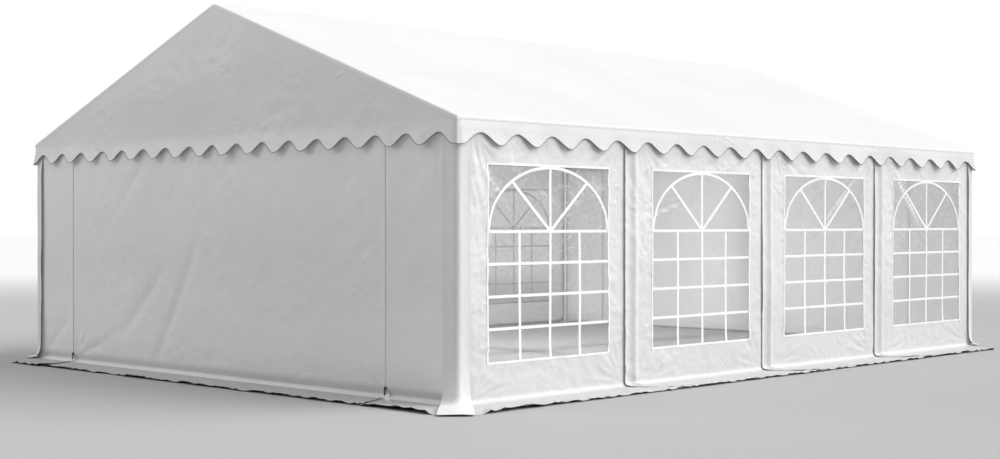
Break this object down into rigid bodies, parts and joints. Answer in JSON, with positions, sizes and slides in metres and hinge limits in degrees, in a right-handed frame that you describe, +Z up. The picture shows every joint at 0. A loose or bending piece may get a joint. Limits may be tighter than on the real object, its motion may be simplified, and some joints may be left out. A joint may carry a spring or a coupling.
{
  "type": "marquee tent",
  "caption": "Marquee tent with a pitched roof, scalloped valances, clear windows in its long sides and zipped doors in its ends, over a frame of steel tubes.",
  "frame": {"origin": "on the ground, under the middle of the tent", "axes": "+X along the tent from the front end to the rear end, +Y to the left of a person who looks in at the front, +Z up"},
  "size_m": [9.0272, 7.0272, 3.2899],
  "materials": {
    "white_cloth": "coated cloth, satin",
    "window_film": "clear soft film, glossy",
    "frame_steel": "galvanised, dull"
  },
  "bodies": {
    "root": {"front_door": "white_cloth", "front_gable": "white_cloth", "front_ground_flap": "white_cloth", "front_right_corner_flap": "white_cloth", "front_tie_tube": "frame_steel", "front_wall_left": "white_cloth", "front_wall_right": "white_cloth", "left_eave_tube": "frame_steel", "left_ground_flap": "white_cloth", "left_post_1": "frame_steel", "left_post_2": "frame_steel", "left_post_3": "frame_steel", "left_post_4": "frame_steel", "left_post_5": "frame_steel", "left_rafter_1": "frame_steel", "left_rafter_2": "frame_steel", "left_rafter_3": "frame_steel", "left_rafter_4": "frame_steel", "left_rafter_5": "frame_steel", "left_roof": "white_cloth", "left_valance": "white_cloth", "left_wall_1": "white_cloth", "left_wall_2": "white_cloth", "left_wall_3": "white_cloth", "left_wall_4": "white_cloth", "left_window_1": "window_film", "left_window_2": "window_film", "left_window_3": "window_film", "left_window_4": "window_film", "rear_door": "white_cloth", "rear_gable": "white_cloth", "rear_ground_flap": "white_cloth", "rear_tie_tube": "frame_steel", "rear_wall_left": "white_cloth", "rear_wall_right": "white_cloth", "ridge_tube": "frame_steel", "right_eave_tube": "frame_steel", "right_ground_flap": "white_cloth", "right_post_1": "frame_steel", "right_post_2": "frame_steel", "right_post_3": "frame_steel", "right_post_4": "frame_steel", "right_post_5": "frame_steel", "right_rafter_1": "frame_steel", "right_rafter_2": "frame_steel", "right_rafter_3": "frame_steel", "right_rafter_4": "frame_steel", "right_rafter_5": "frame_steel", "right_roof": "white_cloth", "right_valance": "white_cloth", "right_wall_1": "white_cloth", "right_wall_2": "white_cloth", "right_wall_3": "white_cloth", "right_wall_4": "white_cloth", "right_window_1": "window_film", "right_window_2": "window_film", "right_window_3": "window_film", "right_window_4": "window_film"}
  },
  "joints": []
}
